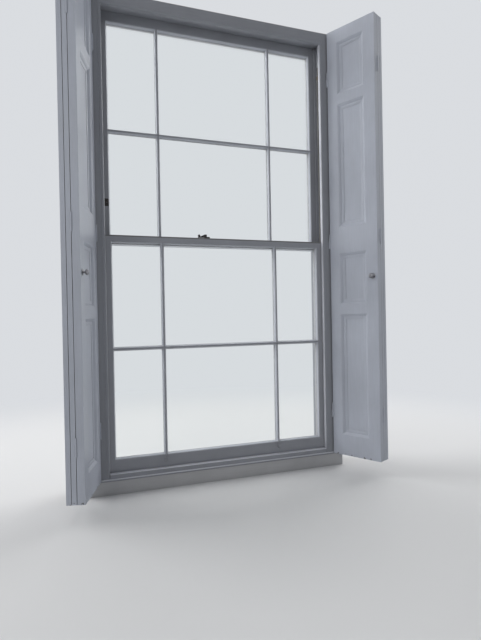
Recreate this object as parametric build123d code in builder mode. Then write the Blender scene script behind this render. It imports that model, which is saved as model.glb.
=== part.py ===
from build123d import *
from math import cos, radians, sin, tan
import os

os.makedirs("parts", exist_ok=True)

# A double-hung timber box sash window with folding inside shutters. Sizes in millimetres.
# X runs to the right as seen from the room, +Y to the outside, +Z up.
# The origin is the middle of the sill's underside, on the line of the parting beads.

# Box frame
opening_width = 1152
head_soffit_z = 2263
head_margin = 47
stile_thick = 20
pocket_width = 54
back_lining_thick = 10
lining_thick = 20
tongue_thick = 8
tongue_deep = 6
housing_deep = 8
head_thick = 22
parting_bead_thick = 9
parting_bead_proud = 12
parting_bead_rooted = 10
outside_lining_proud = 12
staff_bead_proud = 14
staff_bead_over = 2
staff_bead_round = 6
sash_clearance = 1
edge_clearance = 2
closing_gap = 0.3

# Sill
sill_height = 74
sill_housing_z = 44
sill_slope = 7
sill_step = 6
sill_overhang = 45
drip_groove_radius = 5
drip_groove_inset = 16
sill_bead_height = 23
nosing_height = 12
nosing_proud = 6
nosing_past_opening = 29

# Sashes
sash_thick = 44
stile_sight = 46
glass_thick = 3
face_to_glass = 20
rebate = 6
pane_play = 1
bar_width = 19
bar_centre = 295
moulding_width = 7
moulding_quirk = 1.5
moulding_flat = 3
moulding_fillet = 1
meeting_share = 0.514
meeting_rail_height = 37
bottom_rail_height = 86
lower_row_share = 0.497
upper_row_share = 0.488
top_rail_height = 52
lip_splay = 7
lip_clearance = 1
lip_end_gap = 4

# Cords, pulleys and weights
pulley_drop = 173
pulley_set_back = 19
cord_diameter = 7
cord_radius = 25
wheel_flange = 3
wheel_width = 12
wheel_side_gap = 0.8
groove_play = 0.3
axle_diameter = 8
axle_play = 0.1
case_plate_thick = 3
case_plate_width = 28
case_plate_height = 120
cheek_thick = 2.5
cheek_height = 44
mortise_play = 1
mortise_past_wheel = 5
cord_groove_width = 16
cord_groove_deep = 11
cord_groove_length = 270
knot_diameter = 18
knot_deep = 24
weight_diameter = 42
lower_weight_length = 705
upper_weight_length = 715
lower_weight_drop = 35
upper_weight_foot_z = 125
weight_eye_diameter = 9
divider_thick = 6
divider_gap = 4
divider_foot_z = 105
pocket_piece_z = 240
pocket_piece_height = 380
pocket_piece_edge = 2
pocket_screw_inset = 20
pocket_screw_radius = 2.2
pocket_screw_head = 4.5

# Fittings on the sashes
lift_width = 14
lift_height = 28
lift_thick = 3
lift_reach = 18
lift_below_glass = 20
stop_above_meeting = 161
stop_width = 18
stop_height = 36
stop_thick = 3
stop_proud = 0.5
stop_hole = 8
stop_stud = 6
fastener_x = -62
fastener_y = 16
fastener_plate_length = 66
fastener_plate_width = 19
fastener_plate_thick = 3
fastener_plate_margin = 3
fastener_post = 7
fastener_pin = 3
arm_thick = 5
arm_width = 10
arm_knob_radius = 6
arm_knob_rise = 5
arm_knob_neck = 4
arm_hub_height = 16
arm_hub_length = 30
arm_hub_back = 6
arm_hub_flat = 4
arm_hub_roof = 4
arm_play = 0.3
hook_inside = 35
hook_thick = 4
hook_drop = 7
keep_lip_outside = 33
keep_lip_thick = 3
keep_lip_height = 9
keep_half_angle = 26
keep_plate_length = 46
keep_plate_width = 26
keep_plate_front = 6

# Shutters
shutter_foot_drop = 5
shutter_top_gap = 3
shutter_pin_set_back = 26
shutter_meeting_gap = 1.5
shutter_pin_gap = 8
box_splay = 26.6
left_ajar = 9.6
leaf_width = 276
leaf_thick = 32
leaf_edge_gap = 1
leaf_edge_bevel = 0.5
flap_thick = 20
fold_gap = 2
flap_edge_gap = 0.5
panel_thick = 8
panel_groove = 8
panel_play = 0.5
hinge_stile = 58
meeting_stile = 62
flap_margin = 42
panel_shares = ((0.048, 0.332), (0.355, 0.4745), (0.536, 0.824), (0.8475, 0.9695))
leaf_moulding_width = 27
leaf_moulding_deep = 12
leaf_moulding_slope = 13
leaf_moulding_step = 9
leaf_moulding_round = 1
leaf_moulding_flat = 6
leaf_moulding_lip = 1.5
hinge_shares = (0.103, 0.505, 0.89)
hinge_length = 76
jamb_barrel = 4
flap_barrel = 4
barrel_clearance = 0.4
barrel_end_gap = 0.3
hinge_pin = 2.4
hinge_pin_play = 0.1
hinge_plate_thick = 1.5
hinge_plate_width = 28
jamb_plate_width = 22
jamb_plate_inset = 2
knob_from_edge = 28
knob_share = 0.416
knob_reach = 26
knob_radius = 12
knob_neck = 4
rose_radius = 14
rose_thick = 2
rose_cove = 2

# Sizes worked out from the ones above
half_opening = opening_width / 2
half_sash = half_opening - edge_clearance
half_sight = half_opening - stile_sight
channel = sash_thick + 2 * sash_clearance
parting_y = parting_bead_thick / 2
lining_in_y = parting_y + channel
lining_out_y = lining_in_y + lining_thick
pocket_x = half_opening + stile_thick
back_x = pocket_x + pocket_width
half_frame = back_x + back_lining_thick
lower_face_y = -lining_in_y + sash_clearance
upper_face_y = parting_y + sash_clearance
frame_top_z = head_soffit_z + head_margin
upper_top_z = head_soffit_z - closing_gap
upper_sight_z = upper_top_z - top_rail_height
meeting_top_z = sill_height + meeting_share * (head_soffit_z - sill_height)
meeting_low_z = meeting_top_z - meeting_rail_height
bottom_rail_sight_z = sill_height + bottom_rail_height
lower_channel_y = -(parting_y + channel / 2)
upper_channel_y = -lower_channel_y
half_bead_opening = half_opening - staff_bead_proud
nosing_reach = half_opening + nosing_past_opening
bead_y = -lining_out_y - staff_bead_over
bar_half = bar_width / 2
column_edges = (
    (-half_sight, -bar_centre - bar_half),
    (-bar_centre + bar_half, bar_centre - bar_half),
    (bar_centre + bar_half, half_sight),
)
slope = tan(radians(sill_slope))
sill_front_y = lining_out_y + sill_overhang
step_y = -parting_y
drip_y = sill_front_y - drip_groove_inset
pulley_z = head_soffit_z - pulley_drop
pulley_x = half_opening + pulley_set_back
cord_in_x = pulley_x - cord_radius
cord_out_x = pulley_x + cord_radius
wheel_outside = cord_radius + wheel_flange
lift_z = bottom_rail_sight_z - lift_below_glass
stop_z = meeting_top_z + stop_above_meeting
shutter_pin_x = half_opening + shutter_pin_set_back
shutter_pin_y = -lining_out_y - shutter_pin_gap
shutter_bottom_z = sill_height - shutter_foot_drop
shutter_height = frame_top_z - shutter_top_gap - shutter_bottom_z
panel_heights = [[shutter_bottom_z + share * shutter_height for share in ends] for ends in panel_shares]
hinge_heights = [shutter_bottom_z + share * shutter_height for share in hinge_shares]
knob_u = leaf_width - knob_from_edge
knob_z = shutter_bottom_z + knob_share * shutter_height
flap_width = (shutter_pin_x - leaf_width - 4 * flap_edge_gap - shutter_meeting_gap) / 2
flap_1_near = leaf_thick + fold_gap
flap_1_far = flap_1_near + flap_thick
flap_2_near = flap_1_far + fold_gap
flap_2_far = flap_2_near + flap_thick
pin_1 = (leaf_width + flap_edge_gap, leaf_thick + fold_gap / 2)
flap_inner_u = leaf_width - flap_width
pin_2 = (flap_inner_u - flap_edge_gap, flap_1_far + fold_gap / 2)
fastener_top_z = meeting_top_z + fastener_plate_thick
arm_z = fastener_top_z + keep_lip_height + arm_play
arm_top_z = arm_z + arm_thick
pin_top_z = arm_z + arm_hub_height - arm_hub_roof


def block(x0, x1, y0, y1, z0, z1, mode=Mode.ADD):
    """A box between two corners, in the part being built."""
    with Locations(((x0 + x1) / 2, (y0 + y1) / 2, (z0 + z1) / 2)):
        Box(abs(x1 - x0), abs(y1 - y0), abs(z1 - z0), mode=mode)


def prism(points, plane, length, mode=Mode.ADD):
    """A straight piece with the outline points, pushed out of its plane."""
    with BuildSketch(plane) as outline:
        with BuildLine():
            Polyline(*points, close=True)
        make_face()
    extrude(outline.sketch, amount=length, mode=mode)


def ring_plane(x0, x1, y_face, z0):
    """The plane of a section that is carried round an opening: into the wood, and in from its edge."""
    return Plane(origin=((x0 + x1) / 2, y_face, z0), x_dir=(0, 1, 0), z_dir=(1, 0, 0))


def cut_round_opening(section, x0, x1, z0, z1, y_face):
    """A section carried round an opening, mitred at its corners, and cut away."""
    middle = (x0 + x1) / 2
    corners = ((x1, z0), (x1, z1), (x0, z1), (x0, z0))
    with BuildLine() as ring:
        Polyline((middle, y_face, z0), *((x, y_face, z) for x, z in corners), (middle, y_face, z0))
    sweep(section, path=ring.wire(), transition=Transition.RIGHT, mode=Mode.SUBTRACT)


def cut_moulding(x0, x1, z0, z1, y_face, width, curve_end, quirk, fillet):
    """An ovolo worked round an opening, sunk from the face at y_face."""
    with BuildSketch(ring_plane(x0, x1, y_face, z0)) as section:
        with BuildLine():
            Polyline((curve_end, -fillet), (curve_end, 1), (-1, 1), (-1, -width), (quirk, -width))
            EllipticalCenterArc(
                (curve_end, -width), curve_end - quirk, width - fillet, start_angle=90, arc_size=90
            )
        make_face()
    cut_round_opening(section.sketch, x0, x1, z0, z1, y_face)


def cut_leaf_moulding(x0, x1, z0, z1, y_face):
    """The shutters' moulding: a broad rounded slope, a flat, and a shallow slope down to the panel."""
    slope_end = leaf_moulding_slope - leaf_moulding_width
    inner = leaf_moulding_deep - leaf_moulding_lip
    middle = (leaf_moulding_step / 2 - leaf_moulding_round, (slope_end - leaf_moulding_width) / 2)
    with BuildSketch(ring_plane(x0, x1, y_face, z0)) as section:
        with BuildLine():
            Polyline(
                (leaf_moulding_step, slope_end),
                (leaf_moulding_step, slope_end + leaf_moulding_flat),
                (inner, 0),
                (inner, 1),
                (-1, 1),
                (-1, -leaf_moulding_width),
                (0, -leaf_moulding_width),
            )
            ThreePointArc((0, -leaf_moulding_width), middle, (leaf_moulding_step, slope_end))
        make_face()
    cut_round_opening(section.sketch, x0, x1, z0, z1, y_face)


def save(part, name):
    """Label one finished piece and write it out under its own name."""
    part.label = name
    export_step(part, f"parts/{name}.step")


def both_sides(part, name):
    """Write the right-hand piece and its mirror image."""
    save(part, f"{name}_right")
    save(mirror(part, about=Plane.YZ), f"{name}_left")


def pair(part):
    """The right-hand piece with its mirror image, as one group of solids."""
    return Compound(children=[*part.solids(), *mirror(part, about=Plane.YZ).solids()])


# Sill: weathered to the outside, with a step under the lower sash and a drip groove below
slope_start_y = -lining_in_y
step_z = sill_height - (step_y - slope_start_y) * slope
front_z = step_z - sill_step - (sill_front_y - step_y) * slope
with BuildPart() as sill:
    profile = (
        (-lining_out_y, 0),
        (sill_front_y, 0),
        (sill_front_y, front_z),
        (step_y, step_z - sill_step),
        (step_y, step_z),
        (slope_start_y, sill_height),
        (-lining_out_y, sill_height),
    )
    prism(profile, Plane.YZ.offset(-half_frame), 2 * half_frame)
    with Locations((0, drip_y, 0)):
        Cylinder(drip_groove_radius, 2 * half_frame, rotation=(0, 90, 0), mode=Mode.SUBTRACT)
    for side in (-1, 1):
        block(
            side * half_opening,
            side * pocket_x,
            -lining_in_y - tongue_deep,
            lining_in_y + tongue_deep,
            sill_housing_z,
            sill_height + 1,
            Mode.SUBTRACT,
        )
save(sill.part, "sill")

with BuildPart() as sill_nosing:
    nosing_y = -lining_out_y - nosing_proud
    block(-nosing_reach, nosing_reach, nosing_y, -lining_out_y, sill_height - nosing_height, sill_height)
    fillet(sill_nosing.edges().filter_by(Axis.X).group_by(Axis.Y)[0], nosing_height * 0.4)
save(sill_nosing.part, "sill_nosing")

# Head board: housed over both pulley stiles
with BuildPart() as head:
    block(-back_x, back_x, -lining_in_y, lining_in_y, head_soffit_z, head_soffit_z + head_thick)
    for side in (-1, 1):
        block(
            side * half_opening,
            side * pocket_x,
            -lining_in_y,
            lining_in_y,
            head_soffit_z,
            head_soffit_z + housing_deep,
            Mode.SUBTRACT,
        )
save(head.part, "head")

# Pulley stile: tongued into both linings, with the pulley mortises, the pocket and the bead groove
tongue_x = half_opening + (stile_thick - tongue_thick) / 2
case_half = wheel_width / 2 + wheel_side_gap
mortise_half_y = case_half + cheek_thick + mortise_play
mortise_half_z = wheel_outside + mortise_past_wheel
pocket_y0 = -lining_in_y + pocket_piece_edge
pocket_y1 = -parting_y - pocket_piece_edge
with BuildPart() as pulley_stile:
    stile_top_z = head_soffit_z + housing_deep
    block(half_opening, pocket_x, -lining_in_y, lining_in_y, sill_housing_z, stile_top_z)
    block(
        tongue_x,
        tongue_x + tongue_thick,
        -lining_in_y - tongue_deep,
        lining_in_y + tongue_deep,
        sill_housing_z,
        head_soffit_z,
    )
    block(
        half_opening,
        half_opening + parting_bead_rooted,
        -parting_y,
        parting_y,
        sill_housing_z,
        stile_top_z,
        Mode.SUBTRACT,
    )
    for y in (lower_channel_y, upper_channel_y):
        block(
            half_opening,
            half_opening + case_plate_thick,
            y - case_plate_width / 2,
            y + case_plate_width / 2,
            pulley_z - case_plate_height / 2,
            pulley_z + case_plate_height / 2,
            Mode.SUBTRACT,
        )
        block(
            half_opening,
            pocket_x,
            y - mortise_half_y,
            y + mortise_half_y,
            pulley_z - mortise_half_z,
            pulley_z + mortise_half_z,
            Mode.SUBTRACT,
        )
    block(
        half_opening,
        pocket_x,
        pocket_y0,
        pocket_y1,
        pocket_piece_z,
        pocket_piece_z + pocket_piece_height,
        Mode.SUBTRACT,
    )
both_sides(pulley_stile.part, "pulley_stile")

# Pocket piece: the removable board that gives access to the weights
with BuildPart() as pocket_piece:
    block(
        half_opening,
        pocket_x,
        pocket_y0,
        pocket_y1,
        pocket_piece_z,
        pocket_piece_z + pocket_piece_height,
    )
    for z in (
        pocket_piece_z + pocket_screw_inset,
        pocket_piece_z + pocket_piece_height - pocket_screw_inset,
    ):
        with Locations(Plane(origin=(half_opening, lower_channel_y, z), z_dir=(-1, 0, 0))):
            CounterSinkHole(pocket_screw_radius, pocket_screw_head)
save(pair(pocket_piece.part), "pocket_pieces")

# Linings: inside and outside boards of the box, grooved for the stile's tongues
with BuildPart() as inside_lining:
    block(half_opening, back_x, -lining_out_y, -lining_in_y, sill_height, frame_top_z)
    add(pulley_stile.part, mode=Mode.SUBTRACT)
both_sides(inside_lining.part, "inside_lining")

outside_edge = half_opening - outside_lining_proud
with BuildPart() as outside_lining:
    block(outside_edge, back_x, lining_in_y, lining_out_y, sill_housing_z, frame_top_z)
    add(pulley_stile.part, mode=Mode.SUBTRACT)
    add(sill.part, mode=Mode.SUBTRACT)
    block(0, half_frame, 0, lining_out_y + 1, 0, front_z, Mode.SUBTRACT)
both_sides(outside_lining.part, "outside_lining")

with BuildPart() as inside_lining_head:
    block(-half_opening, half_opening, -lining_out_y, -lining_in_y, head_soffit_z, frame_top_z)
save(inside_lining_head.part, "inside_lining_head")

with BuildPart() as outside_lining_head:
    lining_drop_z = head_soffit_z - outside_lining_proud
    block(-outside_edge, outside_edge, lining_in_y, lining_out_y, lining_drop_z, frame_top_z)
save(outside_lining_head.part, "outside_lining_head")

with BuildPart() as back_lining:
    block(back_x, half_frame, -lining_out_y, lining_out_y, sill_housing_z, frame_top_z)
    add(sill.part, mode=Mode.SUBTRACT)
    block(0, half_frame + 1, 0, lining_out_y + 1, 0, front_z, Mode.SUBTRACT)
save(pair(back_lining.part), "back_linings")

# Weight divider: a loose slip that hangs between the two weights
with BuildPart() as weight_divider:
    block(
        pocket_x + divider_gap,
        back_x - divider_gap,
        -divider_thick / 2,
        divider_thick / 2,
        divider_foot_z,
        head_soffit_z,
    )
save(pair(weight_divider.part), "weight_dividers")

# Beads that guide the sashes
with BuildPart() as parting_bead:
    block(
        half_opening - parting_bead_proud,
        half_opening + parting_bead_rooted,
        -parting_y,
        parting_y,
        sill_housing_z,
        head_soffit_z,
    )
    add(sill.part, mode=Mode.SUBTRACT)
    bead_front = parting_bead.edges().filter_by(Axis.Z).group_by(Axis.X)[0]
    fillet(bead_front, parting_bead_thick * 0.2)
save(pair(parting_bead.part), "parting_beads")

with BuildPart() as staff_bead:
    prism(
        (
            (half_bead_opening, sill_height),
            (half_bead_opening, head_soffit_z - staff_bead_proud),
            (half_opening, head_soffit_z),
            (half_opening, sill_height),
        ),
        Plane.XZ.offset(lining_in_y),
        staff_bead_over + lining_thick,
    )
    fillet(staff_bead.edges().filter_by(Axis.Z).group_by(Axis.X)[0].sort_by(Axis.Y)[0], staff_bead_round)
both_sides(staff_bead.part, "staff_bead")

with BuildPart() as staff_bead_head:
    prism(
        (
            (-half_opening, head_soffit_z),
            (half_opening, head_soffit_z),
            (half_bead_opening, head_soffit_z - staff_bead_proud),
            (-half_bead_opening, head_soffit_z - staff_bead_proud),
        ),
        Plane.XZ.offset(lining_in_y),
        staff_bead_over + lining_thick,
    )
    fillet(staff_bead_head.edges().filter_by(Axis.X).group_by(Axis.Z)[0].sort_by(Axis.Y)[0], staff_bead_round)
save(staff_bead_head.part, "staff_bead_head")

with BuildPart() as staff_bead_sill:
    bead_top_z = sill_height + sill_bead_height
    block(-half_bead_opening, half_bead_opening, bead_y, -lining_in_y, sill_height, bead_top_z)
    fillet(staff_bead_sill.edges().filter_by(Axis.X).group_by(Axis.Z)[-1].sort_by(Axis.Y)[0], staff_bead_round)
save(staff_bead_sill.part, "staff_bead_sill")

# Axle pulleys: a brass-faced case let into the stile, and the wheel that turns in it
with BuildPart() as pulley_case:
    for y in (lower_channel_y, upper_channel_y):
        block(
            half_opening,
            half_opening + case_plate_thick,
            y - case_plate_width / 2,
            y + case_plate_width / 2,
            pulley_z - case_plate_height / 2,
            pulley_z + case_plate_height / 2,
        )
        for edge in (-1, 1):
            face_y = y + edge * (case_half + (cheek_thick if edge > 0 else 0))
            with BuildSketch(Plane.XZ.offset(-face_y)):
                with Locations(((half_opening + pulley_x) / 2, pulley_z)):
                    Rectangle(pulley_set_back, cheek_height)
                with Locations((pulley_x, pulley_z)):
                    Circle(cheek_height / 2)
            extrude(amount=cheek_thick)
        block(
            half_opening - cheek_height,
            half_opening + case_plate_thick,
            y - case_half,
            y + case_half,
            pulley_z - wheel_outside - mortise_play,
            pulley_z + wheel_outside + mortise_play,
            Mode.SUBTRACT,
        )
        block(
            half_opening - cheek_height,
            half_opening,
            y - case_plate_width,
            y + case_plate_width,
            pulley_z - cheek_height,
            pulley_z + cheek_height,
            Mode.SUBTRACT,
        )
        with Locations((pulley_x, y, pulley_z)):
            Cylinder(axle_diameter / 2, 2 * (case_half + cheek_thick), rotation=(90, 0, 0))
save(pair(pulley_case.part), "pulley_cases")


def pulley_wheel(y):
    """A grooved cast wheel on its axle, turned about the line of the axle."""
    rim = wheel_width / 2
    cord_half = cord_diameter / 2 + groove_play
    with BuildPart() as wheel:
        with BuildSketch(Plane(origin=(pulley_x, y, pulley_z), x_dir=(1, 0, 0), z_dir=(0, 0, 1))):
            with BuildLine():
                Polyline(
                    (wheel_outside, cord_half),
                    (wheel_outside, rim),
                    (axle_diameter / 2 + axle_play, rim),
                    (axle_diameter / 2 + axle_play, -rim),
                    (wheel_outside, -rim),
                    (wheel_outside, -cord_half),
                    (cord_radius, -cord_half),
                )
                RadiusArc((cord_radius, -cord_half), (cord_radius, cord_half), cord_half)
                Line((cord_radius, cord_half), (wheel_outside, cord_half))
            make_face()
        revolve(axis=Axis((pulley_x, y, pulley_z), (0, 1, 0)))
    return wheel.part


def sash_weight(y, foot_z, length):
    """A cast iron weight with a rounded foot and an eye for the cord in its neck."""
    with BuildPart() as weight:
        with Locations((cord_out_x, y, foot_z + length / 2)):
            Cylinder(weight_diameter / 2, length)
        fillet(weight.edges().group_by(Axis.Z)[0], weight_diameter * 0.2)
        chamfer(weight.edges().group_by(Axis.Z)[-1], weight_diameter * 0.25)
        with Locations((cord_out_x, y, foot_z + length)):
            Hole(cord_diameter / 2 + groove_play, depth=weight_diameter)
        with Locations((cord_out_x, y - weight_diameter / 4, foot_z + length - weight_diameter)):
            Cylinder(weight_eye_diameter, weight_diameter, rotation=(90, 0, 0), mode=Mode.SUBTRACT)
    return weight.part


def sash_cord(y, knot_z, weight_top_z):
    """The cord up from the sash, over its wheel and down to the weight."""
    with BuildPart() as cord:
        with BuildLine() as route:
            Line((cord_in_x, y, knot_z), (cord_in_x, y, pulley_z))
            ThreePointArc(
                (cord_in_x, y, pulley_z), (pulley_x, y, pulley_z + cord_radius), (cord_out_x, y, pulley_z)
            )
            Line((cord_out_x, y, pulley_z), (cord_out_x, y, weight_top_z))
        with BuildSketch(Plane(origin=(cord_in_x, y, knot_z), z_dir=(0, 0, 1))):
            Circle(cord_diameter / 2)
        sweep(path=route.wire())
    return cord.part


for sash, y, top_z, foot_z, length in (
    ("lower", lower_channel_y, meeting_top_z, pulley_z - cord_radius - lower_weight_drop, lower_weight_length),
    ("upper", upper_channel_y, upper_top_z, upper_weight_foot_z + upper_weight_length, upper_weight_length),
):
    both_sides(pulley_wheel(y), f"pulley_wheel_{sash}")
    both_sides(sash_weight(y, foot_z - length, length), f"sash_weight_{sash}")
    both_sides(sash_cord(y, top_z - cord_groove_length, foot_z), f"sash_cord_{sash}")


def sash_blank(y_face, z0, z1, rows, moulded_foot):
    """One sash's timber: a board cut out for its panes, rebated and moulded."""
    y_back = y_face + sash_thick
    y_glass = y_face + face_to_glass
    curve_end = face_to_glass - moulding_flat
    sight_z0 = rows[0][0]
    with BuildPart() as timber:
        block(-half_sash, half_sash, y_face, y_back, z0, z1)
        for x0, x1 in column_edges:
            for low, high in rows:
                block(x0, x1, y_face, y_back, low, high, Mode.SUBTRACT)
                block(
                    x0 - rebate, x1 + rebate, y_glass, y_back, low - rebate, high + rebate, Mode.SUBTRACT
                )
                cut_moulding(
                    x0, x1, low, high, y_face, moulding_width, curve_end, moulding_quirk, moulding_fillet
                )
        if not moulded_foot:
            block(-half_sight, half_sight, y_face, y_glass, sight_z0 - 2 * moulding_width, sight_z0)
        for side in (-1, 1):
            groove_x = side * (half_sash - cord_groove_deep)
            y = y_face + sash_thick / 2
            block(
                groove_x,
                side * (half_sash + 1),
                y - cord_groove_width / 2,
                y + cord_groove_width / 2,
                z1 - cord_groove_length,
                z1,
                Mode.SUBTRACT,
            )
            with Locations((side * (half_sash - knot_deep / 2), y, z1 - cord_groove_length)):
                Cylinder(knot_diameter / 2, knot_deep, rotation=(0, 90, 0), mode=Mode.SUBTRACT)
    return timber.part


def saw(timber, x0, x1, z0, z1):
    """The piece of a sash's timber that lies in one rectangle of its face."""
    with BuildPart() as piece:
        add(timber)
        block(x0, x1, -lining_out_y, lining_out_y, z0, z1, Mode.INTERSECT)
    return piece.part


def rows_between(sight_z0, sight_z1, share):
    """The lowest and highest glass line of the two rows of panes, with the cross bar between them."""
    bar_z = sight_z0 + share * (sight_z1 - sight_z0)
    return (sight_z0, bar_z), (bar_z + bar_width, sight_z1)


def panes(y_face, rows):
    """Six panes of glass, each bedded in its rebate."""
    y_glass = y_face + face_to_glass
    bed = rebate - pane_play
    with BuildPart() as glass:
        for x0, x1 in column_edges:
            for low, high in rows:
                block(x0 - bed, x1 + bed, y_glass, y_glass + glass_thick, low - bed, high + bed)
    return glass.part


def glazing_bars(timber, rows):
    """Two upright bars, and the cross bar in three lengths between them."""
    (sight_z0, bar_z), (bar_top_z, sight_z1) = rows
    bars = []
    for x in (-bar_centre, bar_centre):
        bars += saw(timber, x - bar_half, x + bar_half, sight_z0, sight_z1).solids()
    for x0, x1 in column_edges:
        bars += saw(timber, x0, x1, bar_z, bar_top_z).solids()
    return Compound(children=bars)


# Lower sash: slides on the room side, its meeting rail lipped towards the upper one
lower_foot_z = sill_height + closing_gap - sash_clearance * slope
lower_rows = rows_between(bottom_rail_sight_z, meeting_low_z, lower_row_share)
lower_timber = sash_blank(lower_face_y, lower_foot_z - sash_thick * slope, meeting_top_z, lower_rows, True)
lip_x = half_opening - parting_bead_proud - lip_end_gap
lower_back_y = lower_face_y + sash_thick
lip_low_y = lower_back_y + (upper_face_y - lower_back_y - lip_splay - lip_clearance) / 2
with BuildPart() as lower_meeting_rail:
    add(saw(lower_timber, -half_sash, half_sash, meeting_low_z, meeting_top_z))
    prism(
        (
            (lower_back_y - lip_clearance, meeting_low_z + rebate),
            (lower_back_y - lip_clearance, meeting_top_z),
            (lip_low_y + lip_splay, meeting_top_z),
            (lip_low_y, meeting_low_z),
            (lower_back_y, meeting_low_z),
            (lower_back_y, meeting_low_z + rebate),
        ),
        Plane.YZ.offset(-lip_x),
        2 * lip_x,
    )
save(lower_meeting_rail.part, "lower_meeting_rail")
with BuildPart() as foot_waste:
    prism(
        (
            (lower_face_y - 1, lower_foot_z + slope),
            (lower_back_y + 1, lower_foot_z - (sash_thick + 1) * slope),
            (lower_back_y + 1, 0),
            (lower_face_y - 1, 0),
        ),
        Plane.YZ.offset(-half_sash),
        2 * half_sash,
    )
with BuildPart() as lower_bottom_rail:
    add(saw(lower_timber, -half_sight, half_sight, 0, bottom_rail_sight_z))
    add(foot_waste.part, mode=Mode.SUBTRACT)
save(lower_bottom_rail.part, "lower_bottom_rail")
with BuildPart() as lower_stile:
    add(saw(lower_timber, half_sight, half_sash, 0, meeting_low_z))
    add(foot_waste.part, mode=Mode.SUBTRACT)
both_sides(lower_stile.part, "lower_stile")
save(glazing_bars(lower_timber, lower_rows), "lower_glazing_bars")
save(panes(lower_face_y, lower_rows), "lower_glass")

# Upper sash: slides on the outside, its meeting rail lipped towards the lower one
upper_rows = rows_between(meeting_top_z, upper_sight_z, upper_row_share)
upper_timber = sash_blank(upper_face_y, meeting_low_z, upper_top_z, upper_rows, False)
upper_lip_y = lip_low_y + lip_clearance
with BuildPart() as upper_meeting_rail:
    add(saw(upper_timber, -half_sash, half_sash, meeting_low_z, meeting_top_z))
    prism(
        (
            (upper_face_y + lip_clearance, meeting_low_z),
            (upper_face_y + lip_clearance, meeting_top_z),
            (upper_lip_y + lip_splay, meeting_top_z),
            (upper_lip_y, meeting_low_z),
        ),
        Plane.YZ.offset(-lip_x),
        2 * lip_x,
    )
save(upper_meeting_rail.part, "upper_meeting_rail")
save(saw(upper_timber, -half_sight, half_sight, upper_sight_z, upper_top_z), "upper_top_rail")
stop_x = (half_sight + half_bead_opening) / 2
stop_front_y = upper_face_y - stop_proud
for side, name in ((1, "right"), (-1, "left")):
    with BuildPart() as upper_stile:
        add(saw(upper_timber, side * half_sight, side * half_sash, meeting_top_z, upper_top_z))
        if name == "left":
            block(
                -stop_x - stop_width / 2,
                -stop_x + stop_width / 2,
                upper_face_y,
                stop_front_y + stop_thick,
                stop_z - stop_height / 2,
                stop_z + stop_height / 2,
                Mode.SUBTRACT,
            )
            with Locations((-stop_x, upper_face_y + stop_hole, stop_z)):
                Cylinder(stop_hole / 2, 2 * stop_hole, rotation=(90, 0, 0), mode=Mode.SUBTRACT)
    save(upper_stile.part, f"upper_stile_{name}")
save(glazing_bars(upper_timber, upper_rows), "upper_glazing_bars")
save(panes(upper_face_y, upper_rows), "upper_glass")

# Sash stop: the threaded plate let into the upper sash's left stile
with BuildPart() as sash_stop:
    block(
        -stop_x - stop_width / 2,
        -stop_x + stop_width / 2,
        stop_front_y,
        stop_front_y + stop_thick,
        stop_z - stop_height / 2,
        stop_z + stop_height / 2,
    )
    with Locations((-stop_x, stop_front_y + stop_thick / 2, stop_z)):
        Cylinder(stop_stud / 2, 2 * stop_thick, rotation=(90, 0, 0), mode=Mode.SUBTRACT)
save(sash_stop.part, "sash_stop")

# Sash lifts: small hooked finger pulls on the bottom rail
with BuildPart() as sash_lift:
    plate_y = lower_face_y - lift_thick
    hook_y = lower_face_y - lift_reach
    with BuildSketch(Plane.YZ.offset(bar_centre - lift_width / 2)):
        with BuildLine():
            Polyline(
                (lower_face_y, lift_z + lift_height / 2),
                (lower_face_y, lift_z - lift_height / 2),
                (hook_y + lift_thick, lift_z - lift_height / 2),
            )
            RadiusArc(
                (hook_y + lift_thick, lift_z - lift_height / 2),
                (hook_y, lift_z - lift_height / 2 + lift_thick),
                lift_thick,
            )
            Polyline(
                (hook_y, lift_z - lift_height / 2 + lift_thick),
                (hook_y, lift_z),
                (hook_y + lift_thick, lift_z),
                (hook_y + lift_thick, lift_z - lift_height / 2 + lift_thick),
                (plate_y, lift_z - lift_height / 2 + lift_thick),
                (plate_y, lift_z + lift_height / 2),
                (lower_face_y, lift_z + lift_height / 2),
            )
        make_face()
    extrude(amount=lift_width)
save(pair(sash_lift.part), "sash_lifts")

# Fastener: a quadrant arm with a wedge-shaped hub on the upper meeting rail, and its keep on the lower one
with BuildPart() as fastener_base:
    block(
        fastener_x + fastener_post + fastener_plate_margin - fastener_plate_length,
        fastener_x + fastener_post + fastener_plate_margin,
        fastener_y - fastener_plate_width / 2,
        fastener_y + fastener_plate_width / 2,
        meeting_top_z,
        fastener_top_z,
    )
    with Locations((fastener_x, fastener_y, fastener_top_z)):
        Cylinder(fastener_post, arm_z - arm_play - fastener_top_z, align=(Align.CENTER, Align.CENTER, Align.MIN))
        Cylinder(fastener_pin, pin_top_z - fastener_top_z, align=(Align.CENTER, Align.CENTER, Align.MIN))
save(fastener_base.part, "fastener_base")

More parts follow.
